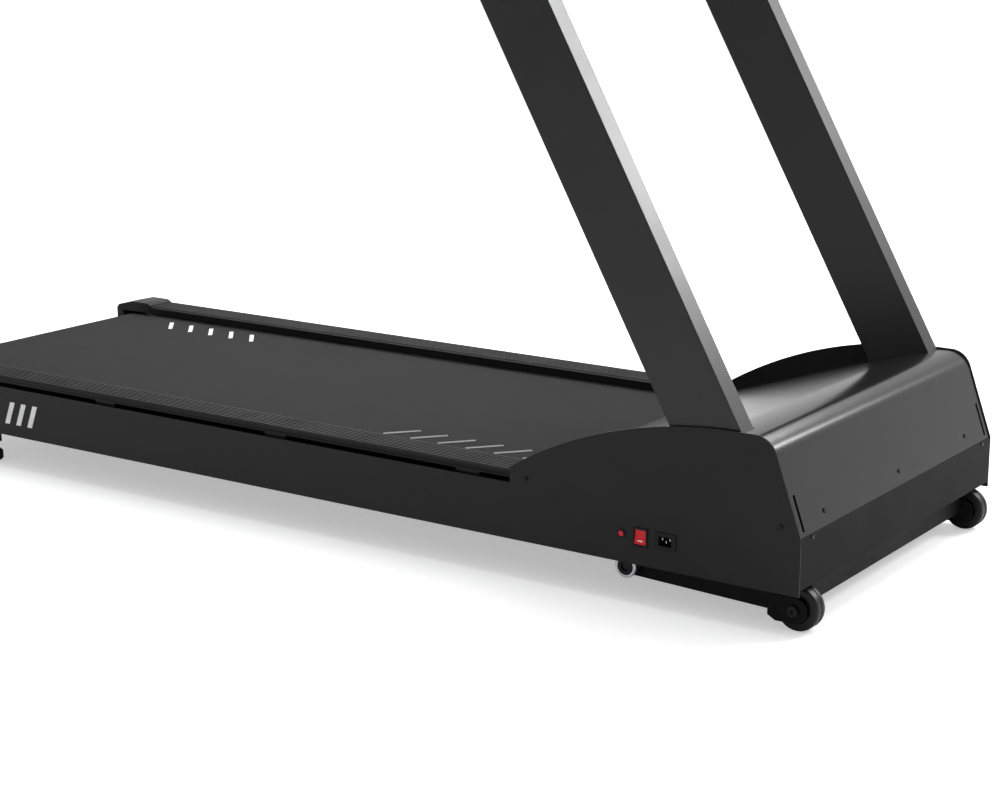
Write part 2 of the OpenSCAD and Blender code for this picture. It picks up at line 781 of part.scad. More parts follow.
// Rocker, resting with its upper end pressed in
rocker_rest = 6;
rocker_foot = 3;                             // narrowing of the rocker towards its inner side
module switch_rocker() {
    h = rocker_half[1];
    color("#c01818") translate([x_out - rocker_axis_in, back(switch_at[0]), switch_at[1]])
        rotate([0, -rocker_rest, 0])
        translate([rocker_axis_in - x_out, -back(switch_at[0]), -switch_at[1]]) {
            across_shape(switch_at[0] - rocker_half[0], switch_at[0] + rocker_half[0], [
                [x_out - 9, switch_at[1] - h + rocker_foot], [x_out + 0.8, switch_at[1] - h],
                [x_out, switch_at[1]], [x_out + 0.8, switch_at[1] + h],
                [x_out - 9, switch_at[1] + h - rocker_foot]]);
            rocker_pin(rocker_pin_in - 0.2, 0);
        }
}

// Outline listed as [across, height], drawn from distance d0 back to d1
module across_shape(d0, d1, outline) {
    translate([0, back(d0), 0]) rotate([90, 0, 0]) linear_extrude(d1 - d0) polygon(outline);
}

module breaker_body() {
    color("#181818") difference() {
        union() {
            bar_x(breaker_body_r + 1.8, x_out, x_out + 1.5, breaker_at[0], breaker_at[1]);
            bar_x(breaker_body_r, fitting_floor, x_out, breaker_at[0], breaker_at[1]);
        }
        bar_x(breaker_button_r + fit_gap, x_out - 12, x_out + 1.5 + eps, breaker_at[0], breaker_at[1]);
    }
}

module breaker_button() {
    color("#d21d1d") bar_x(breaker_button_r, x_out - 8, x_out + 2.4, breaker_at[0], breaker_at[1]);
}

// ---------- lift frame and wheels ----------

fork_back = wheel_back + wheel_r + 3;
fork_t = 6;                                  // thickness of the fork's plates
fork_r = 22;                                 // radius of their round ends
arm_front_back = fork_back + fork_t;
arm_front_high = pivot_high - 9;
fork_x = [x_arm_out - 50, x_arm_out];
module lift_arm() {
    dir = unit([pivot_back - arm_front_back, pivot_high - arm_front_high]);
    nrm = [-dir[1], dir[0]] * arm_h / 2;
    p = [pivot_back, pivot_high];
    q = [arm_front_back, arm_front_high];
    difference() {
        union() {
            side_shape(x_arm, x_arm_out, [p + nrm, p - nrm, q - nrm, q + nrm]);
            bar_x(arm_h / 2, x_arm, x_arm_out, pivot_back, pivot_high);
        }
        bar_x(pivot_r, x_arm - eps, x_arm_out + eps, pivot_back, pivot_high);
        block(x_arm - eps, x_arm_out + eps, arm_front_back - 20, arm_front_back, 0, 100);
    }
}
module lift_arms() { color("#1c1c1d") both_sides() lift_arm(); }

module lift_tubes() {
    lift_pivot_tube();
    lift_mid_tube();
    lift_front_tube();
    lift_lugs();
}

module lift_pivot_pins() {
    lift_pivot_collars();
    color("#18181a") both_sides() bar_x(pivot_r, x_arm, x_rail_out + 8, pivot_back, pivot_high);
}

module lift_pivot_collars() {
    color("#c9cacc") both_sides() difference() {
        bar_x(pivot_r + 4.5, x_rail_out + 0.5, x_rail_out + 8, pivot_back, pivot_high);
        bar_x(pivot_r, x_rail_out, x_rail_out + 8 + eps, pivot_back, pivot_high);
    }
}

module lift_pivot_tube() {
    color("#1c1c1d") difference() {
        bar_x(pivot_r + 2, -x_arm, x_arm, pivot_back, pivot_high);
        bar_x(pivot_r - 2, -x_arm - eps, x_arm + eps, pivot_back, pivot_high);
    }
}

mid_tube_back = act_low_back + 46;   // behind the rod's path at full lift
mid_tube_d = 26;
mid_tube_h = 28;
module lift_mid_tube() {
    color("#1c1c1d") cross_tube(mid_tube_back, mid_tube_back + mid_tube_d,
                                act_low_high - mid_tube_h / 2, act_low_high + mid_tube_h / 2, x_arm);
}

front_tube_z = [34, 66];
module lift_front_tube() {
    color("#1c1c1d")
        cross_tube(wheel_back + 2, fork_back - 0.5, front_tube_z[0], front_tube_z[1], fork_x[0]);
}

lug_hole_r = act_pin_r + 7;                  // open pivot: room for the arc that the rod can't follow
module lift_lugs() {
    color("#1c1c1d") for (s = [-1, 1]) difference() {
        side_shape(act_x + s * 19 - 3, act_x + s * 19 + 3, [
            [mid_tube_back, act_low_high - mid_tube_h / 2], [mid_tube_back, act_low_high + mid_tube_h / 2],
            [act_low_back, act_low_high + 18], [act_low_back - 16, act_low_high + 10],
            [act_low_back - 18, act_low_high - 6], [act_low_back - 8, act_low_high - 18],
            [act_low_back, act_low_high - 18]]);
        bar_x(lug_hole_r, act_x - 30, act_x + 30, act_low_back, act_low_high);
    }
}

module wheel_forks() {
    color("#1d1d1f") both_sides() difference() {
        union() {
            for (x = [fork_x[0], fork_x[1] - fork_t]) {
                side_shape(x, x + fork_t, [
                    [wheel_back, wheel_r + fork_r], [arm_front_back, wheel_r + fork_r],
                    [arm_front_back, wheel_r - fork_r + 8], [fork_back - 8, wheel_r - fork_r],
                    [wheel_back, wheel_r - fork_r]]);
                bar_x(fork_r, x, x + fork_t, wheel_back, wheel_r);
            }
            block(fork_x[0], fork_x[1], fork_back, arm_front_back, wheel_r - fork_r + 8, wheel_r + fork_r);
        }
        bar_x(wheel_axle_r + fit_gap, fork_x[0] - eps, fork_x[1] + eps, wheel_back, wheel_r);
    }
}

module wheel_axles() {
    color("#101011") both_sides() {
        bar_x(wheel_axle_r, fork_x[0], fork_x[1], wheel_back, wheel_r);
        difference() {
            bar_x(9, fork_x[1], fork_x[1] + 5, wheel_back, wheel_r);
            translate([fork_x[1] + 2.5, back(wheel_back), wheel_r]) rotate([0, 90, 0])
                cylinder(r = 4, h = 4, $fn = 6);
        }
    }
}

wheel_x = (fork_x[0] + fork_x[1]) / 2;
module wheel() {
    difference() {
        translate([wheel_x, back(wheel_back), wheel_r]) rotate([0, 90, 0]) rotate_extrude()
            polygon([[0, -wheel_w / 2], [wheel_r - wheel_edge, -wheel_w / 2],
                     [wheel_r, wheel_edge - wheel_w / 2], [wheel_r, wheel_w / 2 - wheel_edge],
                     [wheel_r - wheel_edge, wheel_w / 2], [0, wheel_w / 2]]);
        for (s = [-1, 1]) difference() {
            bar_x(wheel_r - 14, wheel_x + s * wheel_w / 2 - 6, wheel_x + s * wheel_w / 2 + 6,
                  wheel_back, wheel_r);
            bar_x(wheel_axle_r + 6, wheel_x - wheel_w, wheel_x + wheel_w, wheel_back, wheel_r);
        }
        bar_x(wheel_axle_r + fit_gap, wheel_x - wheel_w, wheel_x + wheel_w, wheel_back, wheel_r);
    }
}
wheel_edge = 4;
module wheel_right() { color("#101010") wheel(); }
module wheel_left() { color("#101010") mirror([1, 0, 0]) wheel(); }

// ---------- incline actuator ----------

act_run = act_low_back - act_top_back;
act_drop = act_top_high - act_low_high;
act_len = norm([act_run, act_drop]);
act_lean = atan(act_run / act_drop);

// Frame of the actuator: origin at its upper pivot, -Z along the rod
module act_frame() {
    translate([act_x, back(act_top_back), act_top_high]) rotate([-act_lean, 0, 0]) children();
}

module actuator_bracket() {
    color("#202022") difference() {
        for (s = [-1, 1]) side_shape(act_x + s * 43 - 3, act_x + s * 43 + 3, [
            [front_member[1], 104], [front_member[1], actuator_bracket_high - 4],
            [act_top_back - 18, act_top_high + 12], [act_top_back - 8, act_top_high + 18],
            [act_top_back + 8, act_top_high + 18], [act_top_back + 16, act_top_high + 8],
            [act_top_back + 16, act_top_high - 14], [82, 104]]);
        bar_x(act_pin_r + fit_gap, act_x - 60, act_x + 60, act_top_back, act_top_high);
    }
}

module actuator_body() {
    actuator_gearbox();
    actuator_tube();
    actuator_motor();
}

module actuator_gearbox() {
    color("#4a4c50") act_frame() difference() {
        translate([-38, -28, -42]) cube([76, 56, 58]);
        translate([-60, 0, 0]) rotate([0, 90, 0]) cylinder(r = act_pin_r, h = 120);
        translate([0, 0, -43]) cylinder(r = 22, h = 5);
    }
}

module actuator_tube() {
    color("#77797c") act_frame() difference() {
        translate([0, 0, -175]) cylinder(r = 22, h = 137);
        translate([0, 0, -175 + 14]) cylinder(r = rod_r + 3, h = 137);
        translate([0, 0, -175 - eps]) cylinder(r = rod_r + fit_gap, h = 20);
    }
}

module actuator_motor() {
    color("#303236") act_frame() translate([0, 28, -12]) rotate([-90, 0, 0]) cylinder(r = 24, h = 8);
}

module actuator_pin() {
    color("#a0a0a2") bar_x(act_pin_r, act_x - 50, act_x + 50, act_top_back, act_top_high);
}

module actuator_rod() {
    color("#c4c5c8") act_frame() translate([0, 0, -act_len]) {
        cylinder(r = rod_r, h = act_len - 46);
        rotate([0, 90, 0]) cylinder(r = 13, h = 28, center = true);
        rotate([0, 90, 0]) cylinder(r = act_pin_r, h = 52, center = true);
    }
}

// ---------- uprights ----------

upright_base = rail_high + 6;
upright_skew = sqrt(1 + pow(upright_lean, 2));
module upright() {
    difference() {
        side_shape(x_upright, x_upright_out, upright_cut_outline(upright_base));
        side_shape(x_upright + upright_wall, x_upright_out - upright_wall,
                   upright_cut_outline(upright_base - eps, upright_wall * upright_skew, 2 * upright_wall));
    }
}
module uprights() { color("#2d2d2e") both_sides() upright(); }

tongue_h = 60;                               // plate that stands inside the upright's foot
module upright_bases() {
    color("#202022") both_sides() {
        block(x_rail, x_upright_out, rail_front + 2, upright_front(upright_base) + upright_w + 24,
              rail_high, upright_base);
        side_shape(x_upright + upright_wall, x_upright_out - upright_wall,
                   upright_outline(upright_base, upright_base + tongue_h,
                                   -upright_wall * upright_skew - fit_gap));
    }
}

// ---------- console and handrails ----------

console_x = x_upright;
console_back = upright_front(console_high) + console_seat * upright_w;

// Frame of the console: origin at the middle of its face, -Y out of the face
module console_frame() {
    translate([0, back(console_back), console_high]) rotate([-console_tilt, 0, 0]) children();
}

h2 = console_h / 2;
function console_outline(k) =
    [[6, -h2 + k], [console_d * 0.55, -h2 + k], [console_d - k, -h2 * 0.65], [console_d - k, h2 * 0.65],
     [console_d * 0.6, h2 - k], [6, h2 - k]];
module console_prism(x, outline) {
    translate([-x, 0, 0]) rotate([90, 0, 90]) linear_extrude(2 * x) polygon(outline);
}

module console_casing() {
    color("#232325") console_frame() difference() {
        console_prism(console_x, console_outline(0));
        console_prism(console_x - 3, concat([[5, -h2 + 3]], console_outline(3), [[5, h2 - 3]]));
    }
}

screen_w = 300;
screen_h = 130;
screen_z = 60;
key_w = 46;
key_h = 20;
key_row_z = -52;
key_x = [-190, -130, 0, 130, 190];           // incline down and up, start, speed down and up
stop_z = -108;

module console_face() {
    screen_bezel();
    color("#1a1a1c") console_frame() difference() {
        translate([-console_x, 0, -h2]) cube([2 * console_x, 6, console_h]);
        translate([-screen_w / 2, -eps, screen_z - screen_h / 2]) cube([screen_w, 6 + 2 * eps, screen_h]);
        for (x = key_x) translate([x - key_w / 2 - pass_gap, -eps, key_row_z - key_h / 2 - pass_gap])
            cube([key_w + 2 * pass_gap, 6 + 2 * eps, key_h + 2 * pass_gap]);
        translate([0, -eps, stop_z]) rotate([-90, 0, 0]) cylinder(r = 8 + fit_gap, h = 6 + 2 * eps);
    }
}

module screen_bezel() {
    color("#0f0f10") console_frame() difference() {
        translate([-screen_w / 2 - 12, -3, screen_z - screen_h / 2 - 12])
            cube([screen_w + 24, 3, screen_h + 24]);
        translate([-screen_w / 2 + 2, -3 - eps, screen_z - screen_h / 2 + 2])
            cube([screen_w - 4, 3 + 2 * eps, screen_h - 4]);
    }
}

module display_screen() {
    color("#0a1420") console_frame() translate([-screen_w / 2 + 0.5, 0.2, screen_z - screen_h / 2 + 0.5])
        cube([screen_w - 1, 4, screen_h - 1]);
}

module console_key(i) {
    console_frame() translate([key_x[i] - key_w / 2, -2, key_row_z - key_h / 2]) cube([key_w, 14, key_h]);
}
module incline_down_key() { color("#4a4c50") console_key(0); }
module incline_up_key() { color("#4a4c50") console_key(1); }
module start_key() { color("#2e7d46") console_key(2); }
module speed_down_key() { color("#4a4c50") console_key(3); }
module speed_up_key() { color("#4a4c50") console_key(4); }

module stop_button() {
    color("#c81616") console_frame() translate([0, 0, stop_z]) rotate([-90, 0, 0]) {
        translate([0, 0, -20]) cylinder(r1 = 17, r2 = 20, h = 4);
        translate([0, 0, -16]) cylinder(r = 20, h = 8);
        translate([0, 0, -8]) cylinder(r = 8, h = 22);
    }
}

// Everything ahead of the uprights' rear faces, grown by k
module ahead_of_uprights(k) {
    side_shape(-x_out, x_out, [
        [upright_front(0) + upright_w + k, 0], [-base_len, 0], [-base_len, 2 * console_high],
        [upright_front(2 * console_high) + upright_w + k, 2 * console_high]]);
}

handrail_x = (x_upright + x_upright_out) / 2;
handrail_mid = upright_front(handrail_high) + upright_w / 2;
handrail_end = handrail_mid + handrail_len;
module handrail() {
    difference() {
        bar_y(handrail_r, handrail_x, handrail_mid, handrail_end, handrail_high);
        bar_y(handrail_r - 2, handrail_x, handrail_mid - eps, handrail_end - 2, handrail_high);
        ahead_of_uprights(0);
    }
}
module handrails() { color("#28282a") both_sides() handrail(); }

module handrail_grip() {
    difference() {
        bar_y(handrail_r + 4, handrail_x, handrail_end - 190, handrail_end, handrail_high);
        bar_y(handrail_r, handrail_x, handrail_end - 190 - eps, handrail_end + eps, handrail_high);
    }
}
module grips() { color("#141414") both_sides() handrail_grip(); }

bar_back = handrail_end - 215;
module front_grip_bar() {
    color("#28282a") difference() {
        bar_x(handrail_r - 2, -handrail_x, handrail_x, bar_back, handrail_high);
        both_sides() bar_y(handrail_r, handrail_x, bar_back - 60, bar_back + 60, handrail_high);
    }
}

// ---------- rear feet ----------

x_foot = (x_rail + x_rail_out) / 2;
foot_nut_r = 11;
foot_nut_h = 7;
module rear_foot() {
    translate([x_foot, back(foot_back), 0]) {
        rotate_extrude() polygon([[0, 0], [foot_r - 3, 0], [foot_r, 3], [foot_r, foot_h - 5],
                                  [foot_r - 5, foot_h], [0, foot_h]]);
        translate([0, 0, foot_h]) cylinder(r = foot_stud_r, h = rail_low + 34 - foot_h);
        translate([0, 0, foot_h]) cylinder(r = foot_nut_r, h = foot_nut_h, $fn = 6);
    }
}
module rear_foot_right() { color("#111111") rear_foot(); }
module rear_foot_left() { color("#111111") mirror([1, 0, 0]) rear_foot(); }

frame_rails();
cross_members();
frame_brackets();
lift_pivot_lugs();
deck();
deck_cushions();
belly_pan();
running_belt();
front_roller();
rear_roller();
roller_bearings();
roller_axles();
tension_bolts();
foot_rails();
end_caps();
side_panel_right();
side_panel_left();
cover_screws();
hood();
front_cover();
motor_casing();
motor_shaft();
flywheel();
roller_pulley();
drive_belt();
controller_heatsink();
controller_board();
power_inlet();
switch_housing();
switch_rocker();
breaker_body();
breaker_button();
lift_arms();
lift_tubes();
wheel_forks();
lift_pivot_pins();
wheel_right();
wheel_left();
wheel_axles();
actuator_bracket();
actuator_body();
actuator_pin();
actuator_rod();
uprights();
upright_bases();
console_casing();
console_face();
display_screen();
start_key();
stop_button();
speed_up_key();
speed_down_key();
incline_up_key();
incline_down_key();
handrails();
grips();
front_grip_bar();
rear_foot_right();
rear_foot_left();
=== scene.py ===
import math

import bmesh
import bpy
from mathutils import Matrix, Vector


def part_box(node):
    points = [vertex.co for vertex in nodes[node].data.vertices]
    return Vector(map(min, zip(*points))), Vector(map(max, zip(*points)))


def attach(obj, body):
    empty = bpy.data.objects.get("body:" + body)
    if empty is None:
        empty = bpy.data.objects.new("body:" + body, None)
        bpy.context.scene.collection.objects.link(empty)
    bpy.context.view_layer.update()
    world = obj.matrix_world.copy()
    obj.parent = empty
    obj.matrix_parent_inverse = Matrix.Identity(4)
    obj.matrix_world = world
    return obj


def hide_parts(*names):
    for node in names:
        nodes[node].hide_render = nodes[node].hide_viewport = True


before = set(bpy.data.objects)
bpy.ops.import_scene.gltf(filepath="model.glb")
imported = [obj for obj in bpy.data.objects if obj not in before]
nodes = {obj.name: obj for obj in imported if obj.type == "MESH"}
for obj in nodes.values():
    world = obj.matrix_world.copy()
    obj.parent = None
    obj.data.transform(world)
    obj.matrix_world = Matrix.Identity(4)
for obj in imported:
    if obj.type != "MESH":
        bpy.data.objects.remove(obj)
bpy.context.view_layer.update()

# ---------------------------------------------------------------- camera, floor and light
# A long lens stands ahead of the motor hood on the runner's right, a little above the deck.
# The floor is a pale sheet with soft light from ahead and above, and darker air on the right.
front_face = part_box("side_panel_right")[1].y
camera_data = bpy.data.cameras.new("camera")
camera_data.lens = 76
camera_data.clip_end = 100
camera_across, camera_ahead, camera_high = 3.232, 1.397, 1.150
look_down, look_round = math.radians(13.57), math.radians(124.62)
camera = bpy.data.objects.new("camera", camera_data)
camera.location = (camera_across, front_face + camera_ahead, camera_high)
camera.rotation_euler = (math.pi / 2 - look_down, 0, look_round)
bpy.context.scene.collection.objects.link(camera)
bpy.context.scene.camera = camera
bpy.context.scene.view_settings.view_transform = "Standard"


def area_light(name, place, aim, size, power):
    data = bpy.data.lights.new(name, "AREA")
    data.shape = "RECTANGLE"
    data.size, data.size_y = size
    data.energy = power
    light = bpy.data.objects.new(name, data)
    light.location = place
    light.rotation_euler = (Vector(aim) - Vector(place)).to_track_quat("-Z", "Y").to_euler()
    bpy.context.scene.collection.objects.link(light)


area_light("front_softbox", (-3.8, 3.2, 3.0), (0, 0.8, 0.6), (1.6, 1.4), 130)
area_light("left_strip", (-3.6, 1.0, 3.1), (0, 0.9, 0.3), (2.0, 0.4), 55)
area_light("overhead", (-0.6, 0.2, 4.2), (0, 0, 0), (3.6, 3.6), 95)
area_light("rear_strip", (-3.2, -2.6, 2.2), (0, -0.4, 0.3), (2.4, 1.6), 30)

world = bpy.data.worlds.new("studio")
world.use_nodes = True
bpy.context.scene.world = world
air = world.node_tree
air.nodes.clear()
air_out = air.nodes.new("ShaderNodeOutputWorld")
air_mix = air.nodes.new("ShaderNodeMixShader")
air_seen = air.nodes.new("ShaderNodeBackground")
air_seen.inputs["Color"].default_value = (1, 1, 1, 1)
air_lit = air.nodes.new("ShaderNodeBackground")
air_path = air.nodes.new("ShaderNodeLightPath")
air_way = air.nodes.new("ShaderNodeTexCoord")
air_split = air.nodes.new("ShaderNodeSeparateXYZ")
left_glow, right_glow = 1.15, 0.40
air_range = air.nodes.new("ShaderNodeMapRange")
air_range.inputs["From Min"].default_value = -1.0
air_range.inputs["To Min"].default_value = left_glow
air_range.inputs["To Max"].default_value = right_glow
air.links.new(air_way.outputs["Generated"], air_split.inputs["Vector"])
air.links.new(air_split.outputs["X"], air_range.inputs["Value"])
air.links.new(air_range.outputs["Result"], air_lit.inputs["Strength"])
air.links.new(air_path.outputs["Is Camera Ray"], air_mix.inputs["Fac"])
air.links.new(air_lit.outputs["Background"], air_mix.inputs[1])
air.links.new(air_seen.outputs["Background"], air_mix.inputs[2])
air.links.new(air_mix.outputs["Shader"], air_out.inputs["Surface"])

floor_reach = 30
floor_form = bmesh.new()
bmesh.ops.create_grid(floor_form, x_segments=1, y_segments=1, size=floor_reach)
floor_mesh = bpy.data.meshes.new("floor")
floor_form.to_mesh(floor_mesh)
floor_form.free()
floor = bpy.data.objects.new("floor", floor_mesh)
bpy.context.scene.collection.objects.link(floor)
floor_paint = bpy.data.materials.new("floor_paint")
floor_paint.use_nodes = True
floor_tree = floor_paint.node_tree
floor_shader = floor_tree.nodes["Principled BSDF"]
floor_glow = 0.44
floor_shader.inputs["Base Color"].default_value = (0.93, 0.93, 0.94, 1)
floor_shader.inputs["Roughness"].default_value = 0.75
floor_shader.inputs["Emission Color"].default_value = (1, 1, 1, 1)
floor_seen = floor_tree.nodes.new("ShaderNodeLightPath")
floor_gain = floor_tree.nodes.new("ShaderNodeMath")
floor_gain.operation = "MULTIPLY"
floor_gain.inputs[1].default_value = floor_glow
floor_tree.links.new(floor_seen.outputs["Is Camera Ray"], floor_gain.inputs[0])
floor_tree.links.new(floor_gain.outputs["Value"], floor_shader.inputs["Emission Strength"])
floor_mesh.materials.append(floor_paint)

# ---------------------------------------------------------------- welded steel frame
# Rectangular tube rails, cross members and brackets, welded and powder coated black.
# The coat shows a fine orange peel, and its gloss varies a little along each tube.


def surface(name, colour, rough, grain=0.0008, bump=0.1, vary=0.12, metal=0.0, coat=0.0, shine=0.35,
            stretch=(1, 1, 1)):
    """Coat, moulding or metal: colour and gloss drift slowly, grain is its texture's size in metres."""
    made = bpy.data.materials.new(name)
    made.use_nodes = True
    tree = made.node_tree
    shader = tree.nodes["Principled BSDF"]
    place = tree.nodes.new("ShaderNodeTexCoord")
    scale = tree.nodes.new("ShaderNodeMapping")
    scale.inputs["Scale"].default_value = stretch
    drift = tree.nodes.new("ShaderNodeTexNoise")
    drift.inputs["Scale"].default_value = 14
    drift.inputs["Detail"].default_value = 5
    fine = tree.nodes.new("ShaderNodeTexNoise")
    fine.inputs["Scale"].default_value = 1 / grain
    fine.inputs["Detail"].default_value = 2
    tint = tree.nodes.new("ShaderNodeValToRGB")
    tint.color_ramp.elements[0].position = 0.3
    tint.color_ramp.elements[1].position = 0.7
    tint.color_ramp.elements[0].color = [c * (1 - vary) for c in colour] + [1]
    tint.color_ramp.elements[1].color = [min(1, c * (1 + vary)) for c in colour] + [1]
    gloss = tree.nodes.new("ShaderNodeMapRange")
    gloss.inputs["From Min"].default_value = 0.3
    gloss.inputs["From Max"].default_value = 0.7
    gloss.inputs["To Min"].default_value = rough * (1 - vary / 2)
    gloss.inputs["To Max"].default_value = min(1, rough * (1 + vary / 2))
    relief = tree.nodes.new("ShaderNodeBump")
    relief.inputs["Strength"].default_value = bump
    relief.inputs["Distance"].default_value = grain
    shader.inputs["Metallic"].default_value = metal
    shader.inputs["Coat Weight"].default_value = coat
    shader.inputs["Specular IOR Level"].default_value = shine
    shader.inputs["Coat Roughness"].default_value = 0.25
    tree.links.new(place.outputs["Object"], scale.inputs["Vector"])
    tree.links.new(scale.outputs["Vector"], drift.inputs["Vector"])
    tree.links.new(scale.outputs["Vector"], fine.inputs["Vector"])
    tree.links.new(drift.outputs["Fac"], tint.inputs["Fac"])
    tree.links.new(drift.outputs["Fac"], gloss.inputs["Value"])
    tree.links.new(tint.outputs["Color"], shader.inputs["Base Color"])
    tree.links.new(gloss.outputs["Result"], shader.inputs["Roughness"])
    tree.links.new(fine.outputs["Fac"], relief.inputs["Height"])
    tree.links.new(relief.outputs["Normal"], shader.inputs["Normal"])
    return made


def paint(material, *names):
    """Gives CAD nodes their finish."""
    for name in names:
        mesh = nodes[name].data
        mesh.materials.clear()
        mesh.materials.append(material)


frame_coat = surface("frame_coat", (0.012, 0.012, 0.013), 0.45, bump=0.15)
paint(frame_coat, "frame_rails", "cross_members", "frame_brackets", "lift_pivot_lugs", "belly_pan")

# ---------------------------------------------------------------- lift frame, pins and wheels
# The lift frame swings on two pins under the rails and carries a nylon wheel in each front fork.
# Its tubes are coated like the frame but coloured darker, as painted shade for the shade under the deck; the
# pins wear a bright zinc collar.

crease = math.radians(35)


def shaded_round(mesh):
    """Smooth shading, kept crisp where two faces meet at more than the crease angle."""
    mesh.polygons.foreach_set("use_smooth", [True] * len(mesh.polygons))
    mesh.set_sharp_from_angle(angle=crease)


def softened(name, radius, material, body, steps=2):
    """A copy of a node whose edges are rounded by radius, which stands for that node."""
    mesh = nodes[name].data.copy()
    form = bmesh.new()
    form.from_mesh(mesh)
    bmesh.ops.remove_doubles(form, verts=form.verts, dist=2e-6)
    bmesh.ops.dissolve_limit(form, angle_limit=math.radians(0.5), verts=form.verts, edges=form.edges)
    form.to_mesh(mesh)
    form.free()
    mesh.materials.clear()
    mesh.materials.append(material)
    piece = bpy.data.objects.new(name + "_shell", mesh)
    bpy.context.scene.collection.objects.link(piece)
    shaded_round(mesh)
    round_edges = piece.modifiers.new("round_edges", "BEVEL")
    round_edges.width = radius
    round_edges.segments = steps
    round_edges.limit_method = "ANGLE"
    round_edges.angle_limit = crease
    round_edges.harden_normals = True
    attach(piece, body)
    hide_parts(name)
    return piece


lift_coat_and_shade = surface("lift_coat_and_shade", (0.0055, 0.0055, 0.0058), 0.5, bump=0.12, shine=0.08)
softened("lift_arms", 0.002, lift_coat_and_shade, "lift_frame")
softened("wheel_forks", 0.0008, lift_coat_and_shade, "lift_frame")
paint(lift_coat_and_shade, "lift_tubes")
zinc = surface("zinc", (0.62, 0.62, 0.64), 0.28, grain=0.0004, bump=0.05, metal=1.0)
black_oxide = surface("black_oxide", (0.012, 0.012, 0.013), 0.35, grain=0.0004, bump=0.08, metal=0.6)
paint(black_oxide, "wheel_axles")


def finished(form, name, material, body):
    """Makes a bmesh an object that rides on a body and wears one material."""
    mesh = bpy.data.meshes.new(name)
    form.to_mesh(mesh)
    form.free()
    mesh.materials.append(material)
    piece = bpy.data.objects.new(name, mesh)
    bpy.context.scene.collection.objects.link(piece)
    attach(piece, body)
    return piece


def turned(name, profile, centre, material, body, facing=Matrix.Identity(4), steps=64):
    """Spins an outline of (along, radius) points round X; facing turns X to the piece's own axis."""
    form = bmesh.new()
    points = [form.verts.new((along, radius, 0)) for along, radius in profile]
    edges = [form.edges.new(pair) for pair in zip(points, points[1:])]
    bmesh.ops.spin(form, geom=points + edges, cent=(0, 0, 0), axis=(1, 0, 0), angle=math.tau,
                   steps=steps, use_merge=True)
    bmesh.ops.remove_doubles(form, verts=form.verts, dist=1e-6)
    bmesh.ops.recalc_face_normals(form, faces=form.faces)
    bmesh.ops.transform(form, matrix=Matrix.Translation(centre) @ facing, verts=form.verts)
    piece = finished(form, name, material, body)
    shaded_round(piece.data)
    return piece


pin_low, pin_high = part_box("lift_pivot_pins")
pin_centre = (pin_low + pin_high) / 2
collar_r = (pin_high.z - pin_low.z) / 2
collar_wall, collar_w = 0.0045, 0.0075
pin_r = collar_r - collar_wall
pin_hidden = 0.025
pin_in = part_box("lift_arms")[1].x - pin_hidden
chamfer = 0.0015
dimple_rim, dimple_foot, dimple_deep = pin_r * 0.55, pin_r * 0.5, 0.003
for side, sign in (("right", 1), ("left", -1)):
    end = pin_high.x - pin_in
    pin_outline = [(0, 0), (0, pin_r), (end - chamfer, pin_r), (end, pin_r - chamfer),
                   (end, dimple_rim), (end - dimple_deep, dimple_foot), (end - dimple_deep, 0)]
    collar_outline = [(end - collar_w, pin_r), (end - collar_w, collar_r - chamfer),
                      (end - collar_w + chamfer, collar_r), (end - chamfer, collar_r),
                      (end, collar_r - chamfer), (end, pin_r), (end - collar_w, pin_r)]
    facing = Matrix.Identity(4) if sign > 0 else Matrix.Rotation(math.pi, 4, "Z")
    root = Vector((sign * pin_in, pin_centre.y, pin_centre.z))
    pin = turned("pivot_pin_" + side, pin_outline, root, black_oxide, "lift_frame", facing)
    collar = turned("pivot_collar_" + side, collar_outline, root, zinc, "lift_frame", facing)
    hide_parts("lift_pivot_pins")
    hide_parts("lift_pivot_pins")

